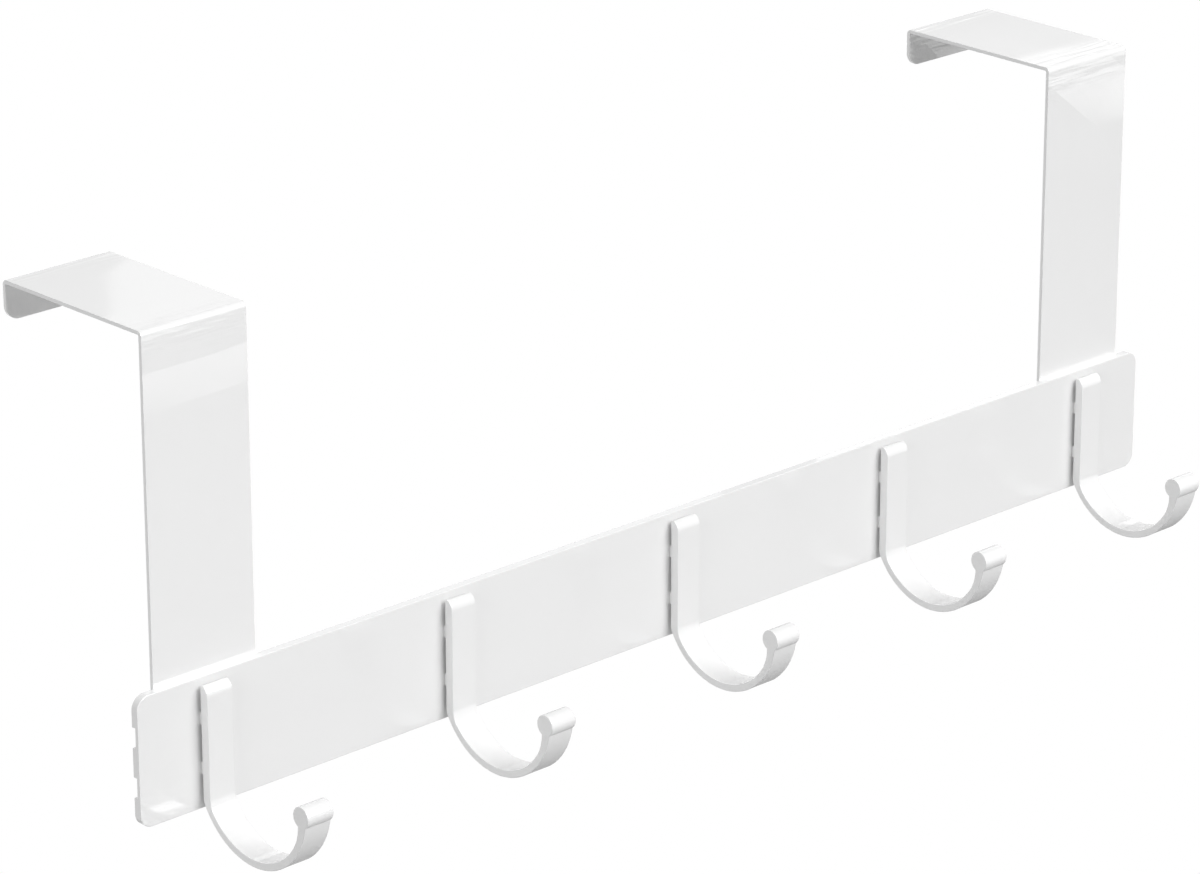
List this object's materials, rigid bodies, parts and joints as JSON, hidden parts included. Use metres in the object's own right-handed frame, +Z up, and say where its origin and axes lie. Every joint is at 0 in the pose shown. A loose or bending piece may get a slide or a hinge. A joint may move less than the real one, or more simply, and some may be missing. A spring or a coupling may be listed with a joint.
{
  "type": "over door hook rail",
  "caption": "Flat rail of J hooks that hangs over the top of a door on two bent metal straps.",
  "frame": {"origin": "on the door's top edge, at its front face, halfway along the rail", "axes": "+X along the rail, +Y from the rail into the door, +Z up"},
  "size_m": [0.3, 0.0796, 0.1115],
  "materials": {
    "rail_coating": "glossy white coating on an extruded aluminium plate",
    "strap_coating": "glossy white coating on bent sheet steel",
    "hook_coating": "glossy white coating on slices of an extruded aluminium section",
    "screw_steel": "plain zinc-plated steel"
  },
  "bodies": {
    "root": {"rail": "rail_coating", "strap_left": "strap_coating", "strap_right": "strap_coating", "hook_1": "hook_coating", "hook_2": "hook_coating", "hook_3": "hook_coating", "hook_4": "hook_coating", "hook_5": "hook_coating", "rail_screws": "screw_steel", "strap_screws": "screw_steel"}
  },
  "joints": []
}
